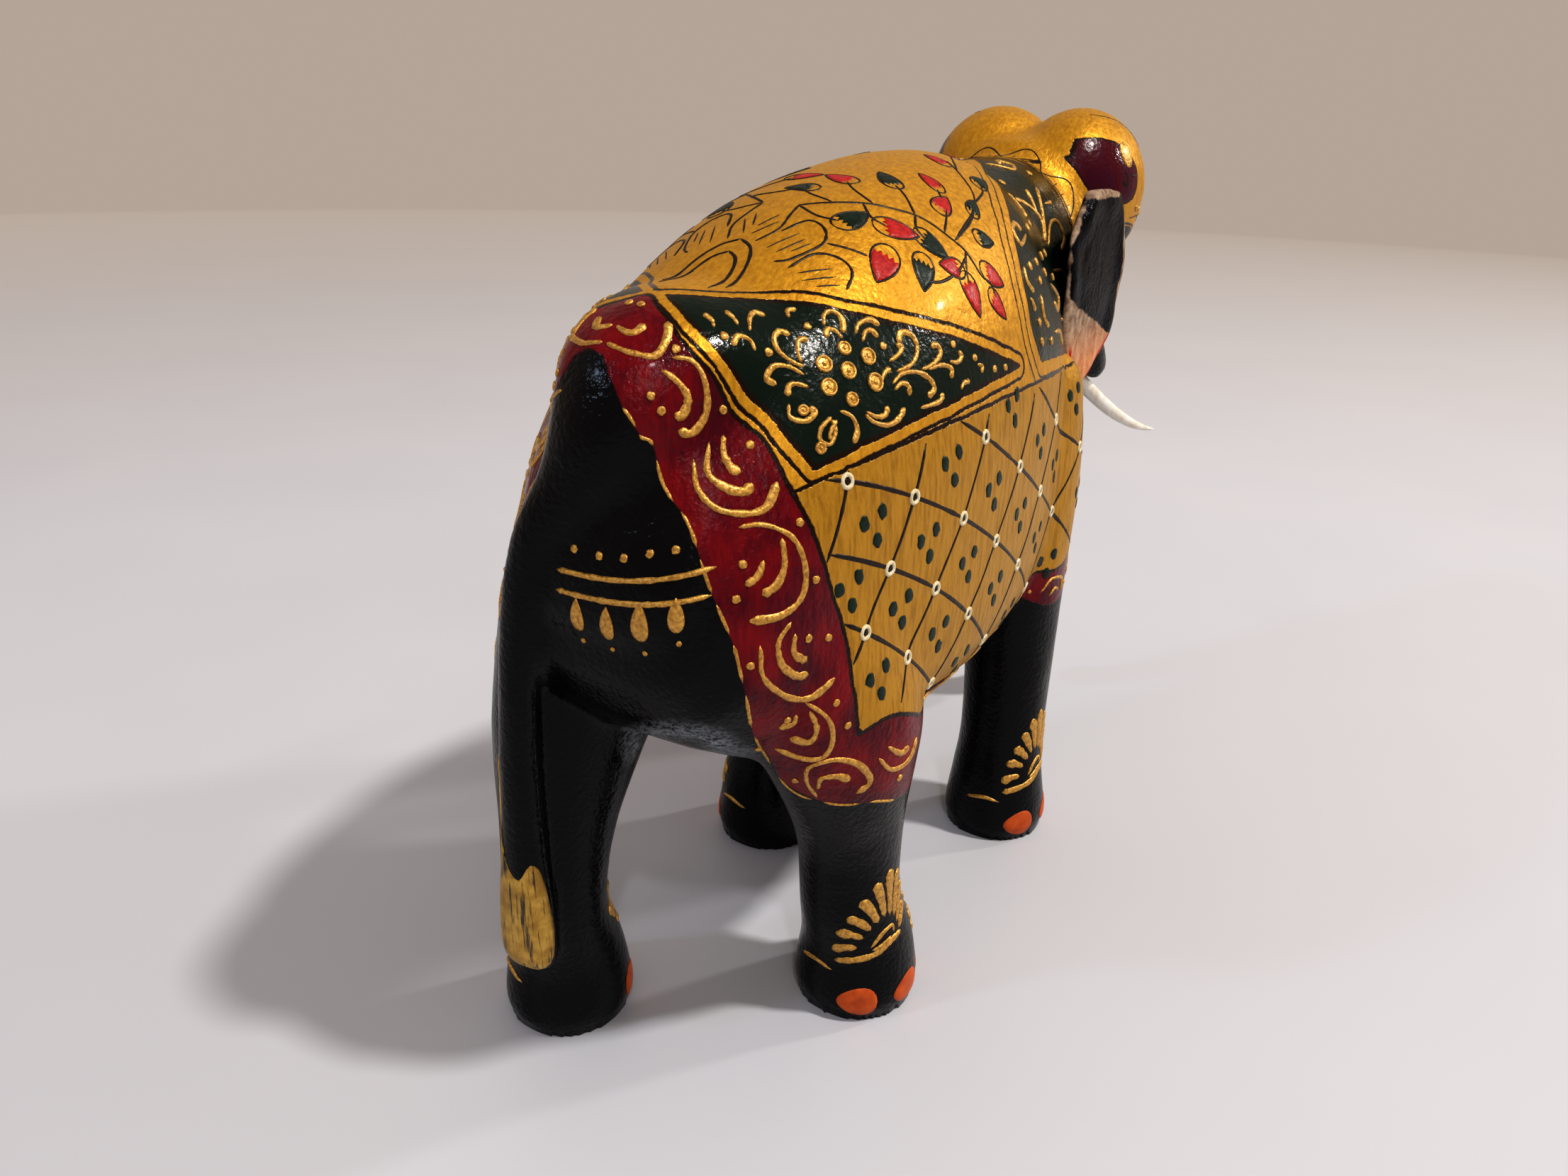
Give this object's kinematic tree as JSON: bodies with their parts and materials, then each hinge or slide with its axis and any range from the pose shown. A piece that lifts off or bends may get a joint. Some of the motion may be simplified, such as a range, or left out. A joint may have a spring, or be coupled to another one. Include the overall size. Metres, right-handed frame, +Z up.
{
  "type": "carved wooden elephant figurine",
  "caption": "Small standing elephant carved from one wooden block, with separate ears and tusks let into the head; flat soles to stand on a shelf.",
  "frame": {"origin": "on the floor under the middle of the figure's bounding box", "axes": "+Z up, the elephant faces -Y, so its right side is -X"},
  "size_m": [0.0434, 0.122, 0.0999],
  "materials": {
    "painted_body": "gloss black lacquer with gold, red and green paint",
    "painted_ear": "gloss black lacquer with a peach border",
    "tusk": "smooth white"
  },
  "bodies": {
    "root": {"carved_body": "painted_body", "ear_right": "painted_ear", "ear_left": "painted_ear", "tusk_right": "tusk", "tusk_left": "tusk"}
  },
  "joints": []
}
